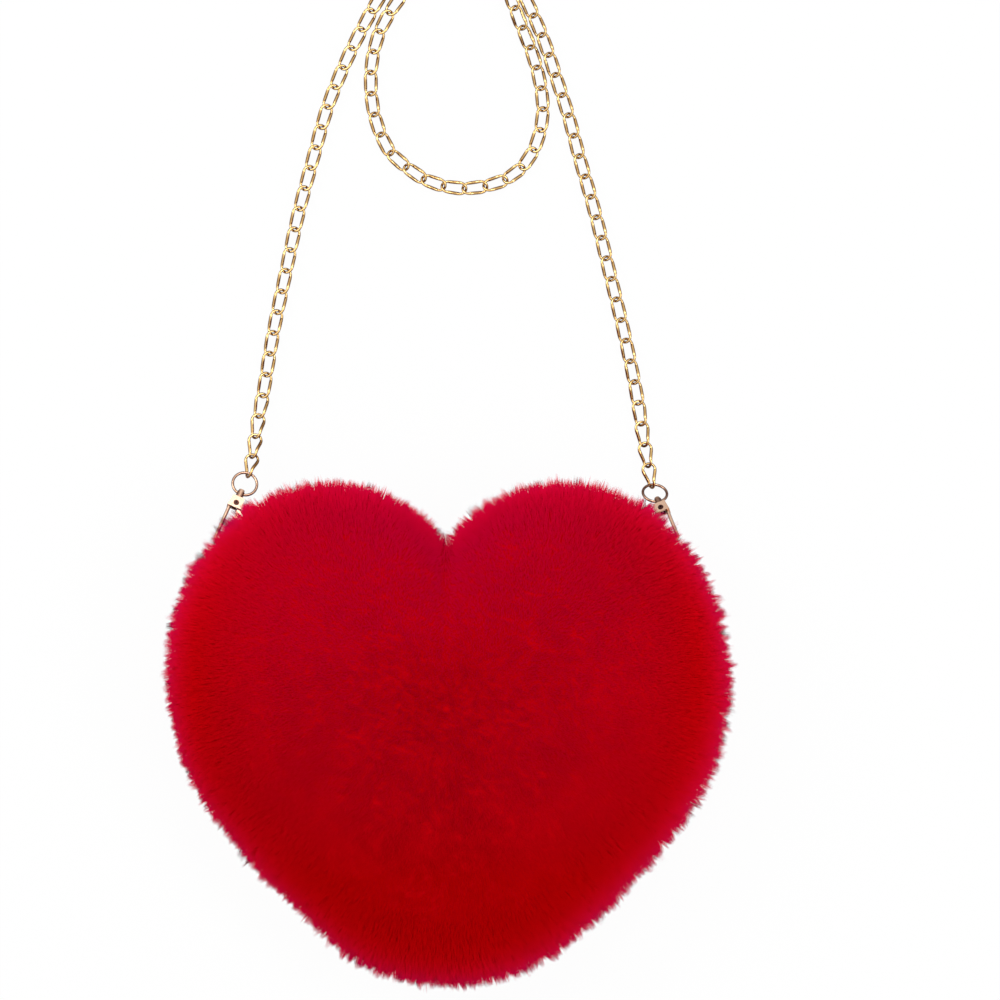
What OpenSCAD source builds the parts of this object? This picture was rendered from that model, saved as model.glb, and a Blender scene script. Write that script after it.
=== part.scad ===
// Heart shaped fur purse with a detachable chain strap, lying on its back.
// Millimetres, +Z up. The origin is the middle of the flat patch on which the back rests,
// +Y points from the heart's tip to its lobes, and the strap lies on the table past them.

/* [Heart outline] */
// Radius of each top lobe, out to the tips of the pile
lobe_r = 72; // [70:0.5:74]
// Distance of each lobe's centre from the middle line
lobe_x = 58.4; // [57:0.2:60]
// Height of the lobe centres above the origin
lobe_y = 55.4; // [54:0.2:57]
// Radius of the long sides
side_r = 116.4; // [110:0.2:125]
// Radius of the lower flanks
flank_r = 382; // [340:1:450]
// Radius of the bottom point
tip_r = 92; // [75:1:105]
// Radius of the notch between the lobes
notch_r = 3; // [2:0.5:5]

/* [Cushion] */
// Height of the seam above the table
seam_z = 33; // [31:0.5:35]
// Rise of the front face above the seam
front_rise = 37; // [34:0.5:42]
// Swell of the back below the seam, before the table flattens it
back_swell = 36; // [35:0.5:40]
// Depth of the fur pile
pile_t = 12; // [11:0.5:12]
// Thickness of the fur's woven backing
backing_t = 1; // [1:0.1:1.4]
// Thickness of the foam behind the fur
padding_t = 2; // [1.5:0.1:3]
// Thickness of the lining
lining_t = 0.6; // [0.4:0.1:0.8]

/* [Zip] */
// Distance from one tooth to the next
tooth_pitch = 3; // [2.8:0.1:3.2]
// Height of the open slit on each side of the seam
slit_h = 7; // [6.8:0.1:8]
// Thickness of the zip's tape
tape_t = 0.6; // [0.5:0.05:0.7]
// Length of the slider
slider_l = 11; // [10:0.5:12]
// Length of the pull
pull_l = 22; // [18:0.5:24]

/* [Strap rings] */
// Direction, from each lobe's centre, in which the fabric tabs are sewn on
tab_turn = 41.6; // [41.2:0.1:42]
// Depth of the strap rings' bars below the tips of the pile
tab_in = 6.34; // [6:0.02:6.6]
// Width of a fabric tab
tab_w = 6; // [5:0.1:6.2]
// Half the width of a strap ring, between wire centres
loop_hw = 4.8; // [4.7:0.05:5]
// Depth of a strap ring below its bar
loop_depth = 11.2; // [10.5:0.1:12]
// Thickness of a strap ring's wire
loop_wire = 1.5; // [1.4:0.05:1.6]

/* [Clasps] */
// Distance from the hook's eye to the centre of the swivel ring
clasp_l = 31; // [31:0.1:32]
// Radius of the swivel ring, at the middle of its wire
ring_r = 6.1; // [6:0.1:6.5]
// Thickness of the swivel ring's wire
ring_wire = 1.4; // [1.3:0.05:1.5]
// Radius of the hook's bend, at the middle of its wire
hook_r = 2.6; // [2.6:0.05:2.8]
// Thickness of the hook's wire
hook_wire = 1.8; // [1.7:0.05:1.9]
// Radius of the rivet's shank
rivet_r = 0.85; // [0.8:0.01:0.95]

/* [Chain] */
// Distance from one link to the next, before the last share is spread
link_pitch = 10.64; // [10.6:0.01:10.7]
// Radius of a link's round ends, at the middle of the wire
link_r = 3.1; // [3.05:0.01:3.15]
// Half the length of a link's straight sides
link_side = 3.1; // [3.05:0.01:3.15]
// Thickness of the chain's wire
link_wire = 1.3; // [1.2:0.01:1.32]
// Reach of the strap, from the bars to the top of the loop
strap_reach = 300; // [299:0.5:302]

/* [Hidden] */

FUR = "#a90114";
LINING = "#8a1020";
FOAM = "#e8d9c8";
TAPE = "#8c0a18";
GOLD = "#e3c468";
ROSE = "#d9a883";
STEEL = "#b9b9bd";

$fn = 48;
// Overrun of every cut past the solid it cuts
over = 1;
// Gap between two soft layers
soft_gap = 0.3;
// Running clearance of a pin in its hole
run = 0.06;

// Directions in which the outline's arcs meet
side_from = 38;
side_to = -37.3;
// Steps along the notch, lobe, side, flank and tip
notch_n = 3;
lobe_n = 11;
side_n = 7;
flank_n = 3;
tip_n = 3;
// Rings from the seam to the crown, and how full the cushion's section is
rings = 7;
fullness = 2.4;
// Share of the notch that fades out toward the crown
notch_fade_share = 0.8;
// Where the crown lies along the middle line, as a share of the lobes' height
crown_share = 0.27;

// Depths of the layers below the tips of the pile
fur_in = pile_t + backing_t;
tape_room = tape_t + 2 * soft_gap;
pad_out = fur_in + tape_room;
pad_in = pad_out + padding_t;
lining_out = pad_in + soft_gap;
lining_in = lining_out + lining_t;

function dir(a) = [cos(a), sin(a)];
function arc(c, r, from, to, n) = [for (i = [0:n - 1]) c + r * dir(from + (to - from) * i / n)];

lobe_c = [lobe_x, lobe_y];
side_c = lobe_c - (side_r - lobe_r) * dir(side_from);
flank_c = side_c - (flank_r - side_r) * dir(side_to);
tip_c = [0, flank_c.y - sqrt(pow(flank_r - tip_r, 2) - pow(flank_c.x, 2))];
tip_from = atan2(tip_c.y - flank_c.y, -flank_c.x);
notch_c = [0, lobe_y + sqrt(pow(lobe_r + notch_r, 2) - pow(lobe_x, 2))];
notch_to = atan2(notch_c.y - lobe_y, -lobe_x);

// The right half of the outline from the notch to the tip, drawn in by a
function half_outline(a) = concat(
    arc(notch_c, -(notch_r + a), 90, notch_to, notch_n),
    arc(lobe_c, lobe_r - a, notch_to, side_from, lobe_n),
    arc(side_c, side_r - a, side_from, side_to, side_n),
    arc(flank_c, flank_r - a, side_to, tip_from, flank_n),
    arc(tip_c, tip_r - a, tip_from, -90, tip_n),
    [tip_c - [0, tip_r - a]]);

function outline(a) = let (h = half_outline(a), n = len(h))
    concat(h, [for (i = [n - 2:-1:1]) [-h[i].x, h[i].y]]);

crown_y = lobe_y * crown_share;

// One ring of the cushion's skin at step k from the seam, for the layer drawn in by a
function skin_ring(a, k, rise) =
    let (s = pow(cos(90 * k / rings), 2 / fullness),
        f = pow(sin(90 * k / rings), 2 / fullness),
        top = lobe_y + lobe_r - a,
        z = rise > 0 ? seam_z + f * (rise - a) : max(a, seam_z + f * (rise + a)))
    [for (p = outline(a))
        let (fade = abs(p.x) < lobe_x && p.y > lobe_y ? (top - p.y) * notch_fade_share : 0)
        [s * p.x, crown_y + s * (p.y + fade * (1 - s) - crown_y), z]];

function skin_crown(a, rise) =
    [0, crown_y, rise > 0 ? seam_z + rise - a : max(a, seam_z + rise + a)];

function skin(a, rise) =
    [for (k = [0:rings - 1]) each skin_ring(a, k, rise), skin_crown(a, rise)];

function flip(faces, on) = on ? [for (f = faces) [f[0], f[2], f[1]]] : faces;

// Faces of one skin whose points start at b
function skin_faces(b, n) = [
    for (k = [0:rings - 2], i = [0:n - 1]) let (j = (i + 1) % n, p = b + k * n)
        each [[p + i, p + j, p + n + j], [p + i, p + n + j, p + n + i]],
    for (i = [0:n - 1]) let (j = (i + 1) % n, p = b + (rings - 1) * n)
        [p + i, p + j, b + rings * n]];

// Closed cap between two skins, along the seam
function rim_faces(b, n) = [for (i = [0:n - 1]) let (j = (i + 1) % n)
    each [[j, i, b + i], [j, b + i, b + j]]];

// A domed shell above the seam, or below it where rise is negative
module shell(out, in, rise) {
    n = len(outline(0));
    b = rings * n + 1;
    faces = concat(skin_faces(0, n), flip(skin_faces(b, n), true), rim_faces(b, n));
    polyhedron(concat(skin(out, rise), skin(in, rise)), flip(faces, rise < 0), convexity = 6);
}

// The full cushion inside the layer drawn in by a
module dome(a, rise) {
    n = len(outline(0));
    cap = [[for (i = [n - 1:-1:0]) i]];
    faces = flip(skin_faces(0, n), rise < 0);
    polyhedron(skin(a, rise), concat(faces, rise < 0 ? [[for (i = [0:n - 1]) i]] : cap),
        convexity = 6);
}

// Zip

// Depth of the tape's middle below the tips of the pile
tape_in = fur_in + soft_gap + tape_t / 2;
tape_r = lobe_r - tape_in;
tape_notch_r = notch_r + tape_in;
// Direction, on each lobe, in which the slit, the tapes and the row of teeth end
slit_end = 57.4;
tape_end = 58.6;
teeth_end = 67.5;
// Steps along each lobe and round the notch in the tapes and the slit
band_n = 23;
band_m = 17;
lobe_len = tape_r * (notch_to - teeth_end) * PI / 180;
notch_len = 2 * tape_notch_r * (notch_to - 90) * PI / 180;
zip_len = 2 * lobe_len + notch_len;
teeth_n = floor(zip_len / tooth_pitch);
tooth_step = zip_len / teeth_n;
// Half the gap between the tape's two edges
tape_edge = 1.2;
tape_seat = 0.1;
// A tooth: half its thickness, its length, how far its head crosses the middle, its width
tooth_ht = 0.95;
tooth_back = 2.9;
tooth_head = 1.1;
tooth_w = 1.25;
jaw_w = 1.9;
tape_fit = 0.05;

// Places whatever is drawn along +X at a distance s along the row of teeth
module on_zip(s) {
    right = s < lobe_len;
    middle = !right && s < lobe_len + notch_len;
    t = s - lobe_len;
    back = zip_len - s;
    turn = 180 / PI;
    if (right)
        translate(lobe_c) rotate([0, 0, teeth_end + s / tape_r * turn])
            translate([tape_r, 0, 0]) children();
    else if (middle)
        translate(notch_c) rotate([0, 0, notch_to + 180 - t / tape_notch_r * turn])
            translate([tape_notch_r, 0, 0]) rotate([0, 0, 180]) children();
    else
        translate([-lobe_x, lobe_y]) rotate([0, 0, 180 - teeth_end - back / tape_r * turn])
            translate([tape_r, 0, 0]) children();
}

// Points along the zip's line at one depth, from the right shoulder to the left one
function zip_line(a, end) = let (r = lobe_r - a, q = notch_r + a, n = band_n, m = band_m,
    right = arc(lobe_c, r, end, notch_to, n),
    dip = [for (i = [0:m]) notch_c - q * dir(notch_to - (2 * notch_to - 180) * i / m)])
    concat(right, dip, [for (i = [n - 1:-1:0]) [-right[i].x, right[i].y]]);

// A band along the zip's line between two depths and two heights
module zip_band(inner, outer, end, z0, z1) {
    near = zip_line(outer, end);
    far = zip_line(inner, end);
    translate([0, 0, z0]) linear_extrude(z1 - z0)
        polygon(concat(near, [for (i = [len(far) - 1:-1:0]) far[i]]));
}

// The slit through pile, padding and lining, as one straight cut along the seam
module zip_slit() {
    zip_band(lining_in + over, -over, slit_end, seam_z - slit_h, seam_z + slit_h);
}

module zip_tape(up) {
    far = slit_h - tape_seat;
    color(TAPE) zip_band(tape_in + tape_t / 2, tape_in - tape_t / 2, tape_end,
        seam_z + (up > 0 ? tape_edge : -far), seam_z + (up > 0 ? far : -tape_edge));
}

tooth_shape = [[-tooth_head, -tooth_w / 2 + tape_fit], [-tooth_head, tooth_w / 2 - tape_fit],
    [0, tooth_w / 2], [tape_edge, jaw_w / 2], [tooth_back, jaw_w / 2],
    [tooth_back, -jaw_w / 2], [tape_edge, -jaw_w / 2], [0, -tooth_w / 2]];

// A tooth clamped on the edge of one tape, its head across the middle
module tooth(up) {
    difference() {
        rotate([0, up > 0 ? -90 : 90, 0]) translate([0, 0, -tooth_ht])
            linear_extrude(2 * tooth_ht) polygon(tooth_shape);
        slot = tape_t + 2 * tape_fit;
        translate([-slot / 2, -jaw_w, up > 0 ? tape_edge - tape_fit : -tooth_back - over])
            cube([slot, 2 * jaw_w, tooth_back + over - tape_edge + tape_fit]);
    }
}

module zip_teeth(up) {
    first = up > 0 ? 0.25 : 0.75;
    color(GOLD) translate([0, 0, seam_z]) for (i = [0:teeth_n - 1])
        on_zip((i + first) * tooth_step) tooth(up);
}

stop_l = 2;
stop_gap = 0.6;

// A folded metal stop round the edge of one tape, or of both
module stop(z0, z1) {
    difference() {
        translate([-tooth_ht, -stop_l / 2, z0]) cube([2 * tooth_ht, stop_l, z1 - z0]);
        slot = tape_t + 2 * tape_fit;
        for (up = [-1, 1])
            translate([-slot / 2, -stop_l, up > 0 ? tape_edge - tape_fit : -tooth_back - over])
                cube([slot, 2 * stop_l, tooth_back + over - tape_edge + tape_fit]);
    }
}

module zip_top_stops() {
    color(GOLD) translate([0, 0, seam_z]) on_zip(-slider_l / 2 - stop_l / 2 - stop_gap) {
        stop(stop_gap / 2, tooth_back);
        stop(-tooth_back, -stop_gap / 2);
    }
}

module zip_bottom_stop() {
    color(GOLD) translate([0, 0, seam_z]) on_zip(zip_len + stop_l / 2 + stop_gap)
        stop(-tooth_back, tooth_back);
}

// Slider: height of its channel, plates, flanges and the slit for the tape
slider_play = 0.3;
channel_h = tooth_ht + slider_play;
plate_t = 0.9;
flange_in = 3.3;
flange_out = 4.3;
tape_slit = 0.45;
wedge_r = 1;
crown_r = 2.5;
crown_wire = 1.1;
slider_turn = slider_l / 2 / tape_r * 180 / PI;
nose_cut = 1.4;
tail_cut = 0.5;
// The slider's middle lies on the first teeth when the zip is closed
slider_s = -stop_gap;

module slider_band(r0, r1, z0, z1) {
    translate([-tape_r, 0, z0]) rotate([0, 0, -slider_turn])
        rotate_extrude(angle = 2 * slider_turn)
            translate([tape_r + r0, 0]) square([r1 - r0, z1 - z0]);
}

// Plan of the slider, with its shoulders cut back at the wedge and less at the tail
module slider_plan() {
    w = flange_out + tape_fit;
    l = slider_l / 2;
    rotate([0, 90, 0]) translate([0, 0, -2 * channel_h - plate_t])
        linear_extrude(4 * channel_h + 2 * plate_t)
            polygon([[-w, nose_cut - l], [nose_cut - w, -l - over], [w - nose_cut, -l - over],
                [w, nose_cut - l], [w, l - tail_cut], [w - tail_cut, l + over],
                [tail_cut - w, l + over], [-w, l - tail_cut]]);
}

module zip_slider() {
    color(GOLD) translate([0, 0, seam_z]) on_zip(slider_s) {
        intersection() {
            union() {
                slider_band(channel_h, channel_h + plate_t, -flange_out, flange_out);
                slider_band(-channel_h - plate_t, -channel_h, -flange_out, flange_out);
                for (m = [0, 1]) mirror([0, 0, m]) {
                    slider_band(tape_slit, channel_h + plate_t / 2, flange_in, flange_out);
                    slider_band(-channel_h - plate_t / 2, -tape_slit, flange_in, flange_out);
                }
                translate([-channel_h - plate_t / 2, -slider_l / 2 + wedge_r + stop_gap, 0])
                    rotate([0, 90, 0]) cylinder(r = wedge_r, h = 2 * channel_h + plate_t);
            }
            slider_plan();
        }
        translate([channel_h + plate_t - crown_wire / 2, 0, 0]) rotate([0, 0, -90])
            rotate_extrude(angle = 180) translate([crown_r, 0]) circle(d = crown_wire);
    }
}

// Pull: bar under the crown, two arms and a rounded tab
bar_lift = 0.7;
bar_up = channel_h + plate_t + bar_lift;
pull_bar = 1.1;
pull_w = 6.4;
pull_t = 1.1;
arm_w = 1.2;
pull_in = 1.2;
pull_hole = 1.4;
// The pull lies back on the slider's tail
pull_tip = 2.5;

module zip_pull() {
    color(GOLD) translate([0, 0, seam_z]) on_zip(slider_s)
        translate([bar_up, 0, 0]) rotate([0, 0, pull_tip]) {
            translate([0, 0, -pull_w / 2]) cylinder(d = pull_bar, h = pull_w);
            rotate([0, -90, 0]) translate([0, 0, -pull_t / 2]) linear_extrude(pull_t)
                difference() {
                    translate([-pull_w / 2, 0]) square([pull_w, pull_l - pull_w / 2]);
                    translate([-pull_w / 2 + arm_w, -over])
                        square([pull_w - 2 * arm_w, crown_r + pull_in + over]);
                    translate([0, pull_l - pull_w / 2]) circle(r = pull_hole);
                }
            rotate([0, -90, 0]) translate([0, 0, -pull_t / 2]) linear_extrude(pull_t)
                difference() {
                    translate([0, pull_l - pull_w / 2]) circle(d = pull_w);
                    translate([0, pull_l - pull_w / 2]) circle(r = pull_hole);
                }
        }
}

// Strap tabs and loops

tab_t = 1.6;
tab_wall = 0.8;
bar_gap = 0.25;
tab_loop_r = loop_wire / 2 + bar_gap + tab_wall;
tab_fit = 0.1;
loop_corner = 1.6;
parting_r = 15;
parting_y = 9;
parting_low = 18;

// Place of the right tab's bar
tab_x = lobe_x + (lobe_r - tab_in) * cos(tab_turn);
bar_y = lobe_y + (lobe_r - tab_in) * sin(tab_turn);
// The tab's root is sewn in down to the padding
tab_root = bar_y - lobe_y
    - sqrt(pow(lobe_r - pad_out + tab_fit, 2) - pow(tab_x - tab_w / 2 - lobe_x, 2));

module at_tab(side) {
    translate([side * tab_x, bar_y, seam_z]) children();
}

module strap_tab(side) {
    color(FUR) at_tab(side) translate([-tab_w / 2, 0, 0]) rotate([90, 0, 90])
        linear_extrude(tab_w) difference() {
            union() {
                circle(r = tab_loop_r);
                translate([-tab_root, -tab_t / 2]) square([tab_root, tab_t]);
            }
            circle(r = loop_wire / 2 + bar_gap);
        }
}

module tab_slot(side) {
    w = tab_w + 2 * tab_fit;
    t = tab_t + 2 * tab_fit;
    at_tab(side) translate([-w / 2, -tab_root - tab_fit, -t / 2]) cube([w, tab_root, t]);
}

// The pile parted round a strap loop, down to the backing
module parting(side, rise) {
    difference() {
        translate([side * tab_x, bar_y + parting_y, parting_low])
            cylinder(r = parting_r, h = seam_z + front_rise);
        dome(pile_t, rise);
    }
}

// A closed D of wire: a straight bar, two short sides and a half round
module strap_loop(side) {
    r = loop_wire / 2;
    span = loop_hw - loop_corner;
    drop = loop_depth - loop_hw;
    color(GOLD) at_tab(side) {
        rotate([0, 90, 0]) cylinder(r = r, h = 2 * span, center = true);
        for (m = [-1, 1]) {
            translate([m * span, 0, -loop_corner]) rotate([90, 0, 0])
                rotate([0, 0, m > 0 ? 0 : 90]) rotate_extrude(angle = 90)
                    translate([loop_corner, 0]) circle(r = r);
            translate([m * loop_hw, 0, -drop]) cylinder(r = r, h = drop - loop_corner);
        }
        translate([0, 0, -drop]) rotate([90, 0, 0]) rotate([0, 0, 180])
            rotate_extrude(angle = 180) translate([loop_hw, 0]) circle(r = r);
    }
}

// Clasps, drawn along +X from the hook's eye to the swivel ring

// Height of the eye below the bar
eye_drop = 4.4;
// Each clasp's heading in the plan, its slope and its ring's own turn
yaw_left = 67.1;
yaw_right = 110.4;
slope_left = 24.1;
slope_right = 42.4;
ring_turn_left = 0;
ring_turn_right = 20;

function clasp_yaw(side) = side < 0 ? yaw_left : yaw_right;
function clasp_slope(side) = side < 0 ? slope_left : slope_right;
function clasp_dir(side) = let (y = clasp_yaw(side), s = clasp_slope(side))
    [cos(s) * cos(y), cos(s) * sin(y), -sin(s)];
function eye(side) = [side * (tab_x + loop_hw), bar_y, seam_z - eye_drop];

module at_clasp(side) {
    translate(eye(side)) rotate([0, clasp_slope(side), clasp_yaw(side)])
        rotate([side < 0 ? 0 : 180, 0, 0]) children();
}

bend_x = -0.5;
nose_l = 2.6;
// Head of the hook: where it starts and ends, counted back from the ring's centre, its
// widths, its height and its cheeks
head_start = 14.4;
head_stop = 8.2;
head_from = clasp_l - head_start;
head_to = clasp_l - head_stop;
head_wide = 7.6;
head_narrow = 6.2;
head_h = 4;
cheek_t = 0.7;
end_wall = 1.3;
spine_wall = 1.5;
rivet_back = 11.9;
rivet_x = clasp_l - rivet_back;
post_r = 0.95;
post_head = 1.7;
post_head_t = 0.6;
boss_r = 1.9;
boss_in = 1.1;
boss_gap = 0.2;

module hook_body(side) {
    wire = hook_wire / 2;
    color(ROSE) at_clasp(side) {
        difference() {
            union() {
                translate([0, 0, -head_h / 2]) linear_extrude(head_h)
                    polygon([[head_from, -head_wide / 2], [head_to, -head_narrow / 2],
                        [head_to, head_narrow / 2], [head_from, head_wide / 2]]);
                translate([bend_x, hook_r, 0]) rotate([0, 90, 0])
                    cylinder(r = wire, h = head_from - bend_x + end_wall);
            }
            translate([head_from - over, -head_wide, cheek_t - head_h / 2])
                cube([head_to - end_wall - head_from + over,
                    head_wide + head_narrow / 2 - spine_wall, head_h - 2 * cheek_t]);
            translate([rivet_x, 0, -head_h]) cylinder(r = rivet_r, h = 2 * head_h);
            translate([head_to - end_wall - over, 0, 0]) rotate([0, 90, 0])
                cylinder(r = post_r + run, h = end_wall + 2 * over);
        }
        translate([bend_x, 0, 0]) rotate([0, 0, 90])
            rotate_extrude(angle = 180) translate([hook_r, 0]) circle(r = wire);
        translate([bend_x, -hook_r, 0]) rotate([0, 90, 0]) cylinder(r = wire, h = nose_l);
    }
}

gate_w = 1.5;
gate_h = 1.8;
gate_gap = 0.25;
eye_r = 1.5;
gate_eye_h = 1.1;
// The gate's eye fills the lower part of the slot, and the spring the upper part
gate_play = 0.1;
gate_eye_z = cheek_t - head_h / 2 + gate_play;
thumb_back = 3.4;
thumb_x = head_from - thumb_back;
thumb_l = 3;
thumb_out = 1.1;

module gate(side) {
    tip = bend_x + nose_l + gate_gap;
    bend = head_from - gate_gap;
    low = -hook_r - gate_w / 2;
    color(ROSE) at_clasp(side) difference() {
        union() {
            translate([0, 0, -gate_h / 2]) linear_extrude(gate_h) {
                polygon([[tip, low], [bend, low], [bend, low + gate_w], [tip, low + gate_w]]);
                translate([thumb_x, low - thumb_out]) square([thumb_l, thumb_out + gate_w / 2]);
            }
            translate([0, 0, gate_eye_z]) linear_extrude(gate_eye_h) {
                translate([rivet_x, 0]) circle(r = eye_r);
                polygon([[bend - gate_w, low], [rivet_x, -eye_r], [rivet_x - eye_r, 0],
                    [bend - gate_w, low + gate_w]]);
            }
        }
        translate([rivet_x, 0, -head_h]) cylinder(r = rivet_r + run, h = 2 * head_h);
    }
}

coil_wire = 0.3;
coil_r = 1.3;
coil_turns = 2;
coil_pitch = 0.34;
coil_from = gate_eye_z + gate_eye_h + gate_play + coil_wire / 2;
leg_l = 3;
coil_steps = 10;
coil_sides = 6;

// Middle line of the torsion spring: a leg, the turns and the other leg
function coil_path() = let (n = coil_turns * coil_steps + coil_steps / 2) concat(
    [[-leg_l, coil_r, 0]],
    [for (i = [0:n]) let (a = 90 - 360 * i / coil_steps)
        [coil_r * cos(a), coil_r * sin(a), coil_pitch * i / coil_steps]],
    [[-leg_l, -coil_r, coil_pitch * n / coil_steps]]);

module tube(path, r, sides) {
    n = len(path);
    points = [for (i = [0:n - 1])
        let (d = path[min(i + 1, n - 1)] - path[max(i - 1, 0)],
            u = cross([0, 0, 1], d) / norm(cross([0, 0, 1], d)), v = cross(d, u) / norm(d))
        for (k = [0:sides - 1])
            path[i] + r * (cos(360 * k / sides) * u + sin(360 * k / sides) * v)];
    faces = concat(
        [[for (k = [0:sides - 1]) k]],
        [for (i = [0:n - 2], k = [0:sides - 1])
            let (m = (k + 1) % sides, p = i * sides)
            each [[p + k, p + sides + k, p + sides + m], [p + k, p + sides + m, p + m]]],
        [[for (k = [sides - 1:-1:0]) (n - 1) * sides + k]]);
    polyhedron(points, faces, convexity = 8);
}

module gate_spring(side) {
    color(STEEL) at_clasp(side) translate([rivet_x, 0, coil_from])
        tube(coil_path(), coil_wire / 2, coil_sides);
}

rivet_head_r = 1.45;
rivet_head_t = 0.45;
rivet_bore = 0.45;

module rivet(side) {
    color(ROSE) at_clasp(side) difference() {
        union() {
            translate([rivet_x, 0, -head_h / 2 - rivet_head_t])
                cylinder(r = rivet_r, h = head_h + 2 * rivet_head_t);
            for (m = [0, 1]) mirror([0, 0, m]) translate([rivet_x, 0, head_h / 2])
                cylinder(r1 = rivet_head_r, r2 = rivet_head_r - rivet_head_t / 2, h = rivet_head_t);
        }
        translate([rivet_x, 0, -head_h]) cylinder(r = rivet_bore, h = 2 * head_h);
    }
}

ring_near = clasp_l - ring_r;
boss_from = head_to + boss_gap;
boss_to = ring_near + boss_in;

module swivel_post(side) {
    color(ROSE) at_clasp(side) {
        inner = head_to - end_wall;
        translate([inner, 0, 0]) rotate([0, 90, 0])
            cylinder(r = post_r, h = boss_to + run - inner);
        translate([inner - post_head_t, 0, 0]) rotate([0, 90, 0])
            cylinder(r = head_h / 2 - cheek_t - run, h = post_head_t);
        translate([boss_to + run, 0, 0]) rotate([0, 90, 0])
            cylinder(r1 = post_head, r2 = post_head - post_head_t / 2, h = 2 * post_head_t);
    }
}

module swivel_ring(side) {
    turn = side < 0 ? ring_turn_left : ring_turn_right;
    color(ROSE) at_clasp(side) rotate([turn, 0, 0]) difference() {
        union() {
            translate([clasp_l, 0, 0]) rotate_extrude()
                translate([ring_r, 0]) circle(d = ring_wire);
            translate([boss_from, 0, 0]) rotate([0, 90, 0])
                cylinder(r = boss_r, h = boss_to - boss_from);
        }
        translate([boss_from - over, 0, 0]) rotate([0, 90, 0])
            cylinder(r = post_r + run, h = boss_to - boss_from + 2 * over);
    }
}

// Chain

// Tilt of each round end about the link's length, so that flat links pass one another
twist = 30;
chain_t = 2 * (link_r * sin(twist) + link_wire / 2);
table_gap = 0.2;
chain_z = table_gap + chain_t / 2;
// How much thinner a link's ends are, and how far its sides lap over them
link_wear = 0.1;
link_lap = 0.3;
// How far a ring and the first link's end lie past their meeting point
link_hold = 1;
// Extra roll of the end links, which stands them across their rings, and its reach
end_roll = 36;
end_links = 4;
// Links of each strand below the strap's first and second fold
fold_low = 5;
fold_high = 10;

function strand_end(side) = eye(side) + (clasp_l + ring_r - link_hold) * clasp_dir(side);

// Places along the strap: across as shares of the tabs' distance, up as shares of the
// reach, lift as a share of the chain's thickness
route_shares = [
    [-0.904, 0.143, 1.45], [-0.886, 0.193, 0.45], [-0.86, 0.243, 0], [-0.814, 0.343, 0],
    [-0.756, 0.443, 0], [-0.696, 0.543, 0], [-0.621, 0.643, 0], [-0.563, 0.718, 0],
    [-0.479, 0.793, 0], [-0.411, 0.843, 0], [-0.335, 0.893, 0], [-0.247, 0.943, 0],
    [-0.13, 0.982, 0.1], [0.019, 0.997, 0.6], [0.158, 0.98, 1.15], [0.256, 0.94, 1.15],
    [0.307, 0.892, 0.9], [0.353, 0.85, 0.3], [0.388, 0.82, 0], [0.418, 0.787, 0],
    [0.443, 0.743, 0], [0.447, 0.697, 0], [0.406, 0.647, 0], [0.352, 0.618, 0],
    [0.247, 0.593, 0], [0.079, 0.582, 0], [-0.079, 0.593, 0], [-0.191, 0.618, 0],
    [-0.273, 0.645, 0], [-0.333, 0.693, 0], [-0.358, 0.743, 0], [-0.355, 0.793, 0],
    [-0.322, 0.843, 0], [-0.249, 0.89, 0], [-0.158, 0.928, 0], [-0.028, 0.957, 0],
    [0.112, 0.965, 0], [0.251, 0.95, 0], [0.34, 0.917, 0], [0.391, 0.883, 0],
    [0.454, 0.83, 0], [0.493, 0.787, 0], [0.532, 0.745, 0], [0.577, 0.693, 0],
    [0.612, 0.643, 0], [0.691, 0.543, 0], [0.759, 0.443, 0], [0.826, 0.343, 0],
    [0.884, 0.243, 0], [0.906, 0.193, 0.05], [0.927, 0.143, 0.3]];

route = concat([strand_end(-1)],
    [for (s = route_shares)
        [s.x * tab_x, bar_y + s.y * strap_reach, chain_z + s.z * chain_t]],
    [strand_end(1)]);

function route_at(i) = i < 0 ? 2 * route[0] - route[1]
    : i > len(route) - 1 ? 2 * route[len(route) - 1] - route[len(route) - 2] : route[i];

route_steps = 8;

// The route as a smooth curve through its points
curve = [for (i = [0:len(route) - 2], k = [0:route_steps - 1])
    let (t = k / route_steps, a = route_at(i - 1), b = route_at(i), c = route_at(i + 1),
        d = route_at(i + 2))
    (2 * b + (c - a) * t + (2 * a - 5 * b + 4 * c - d) * t * t
        + (3 * b - a - 3 * c + d) * t * t * t) / 2];

// Length along the curve up to each of its points
function runs(points, i = 0, sum = 0, out = []) = i == len(points) ? out
    : let (s = i == 0 ? 0 : sum + norm(points[i] - points[i - 1]))
        runs(points, i + 1, s, concat(out, [s]));

curve_points = concat(curve, [route[len(route) - 1]]);
curve_runs = runs(curve_points);
strap_len = curve_runs[len(curve_runs) - 1];
links = round(strap_len / link_pitch);
pitch = strap_len / links;
tables = [for (axis = [0:2])
    [for (i = [0:len(curve_points) - 1]) [curve_runs[i], curve_points[i][axis]]]];

function on_strap(s) = [for (axis = [0:2]) lookup(s, tables[axis])];
function link_roll(i) = end_roll * (max(0, 1 - (links - 1 - i) / end_links)
    - max(0, 1 - i / end_links));

// A twisted link: two tilted half rings, worn thinner, joined by two slanted wires
module link() {
    rise = link_r * sin(twist);
    slant = atan2(rise, link_side);
    side_l = 2 * norm([link_side, rise]) + 2 * link_lap;
    for (m = [0, 180]) rotate([0, 0, m]) {
        translate([link_side, 0, 0]) rotate([twist, 0, 0]) rotate([0, 0, -90])
            rotate_extrude(angle = 180) translate([link_r, 0]) circle(d = link_wire - link_wear);
        translate([0, link_r * cos(twist), 0]) rotate([0, 90 - slant, 0])
            cylinder(d = link_wire, h = side_l, center = true);
    }
}

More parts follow.
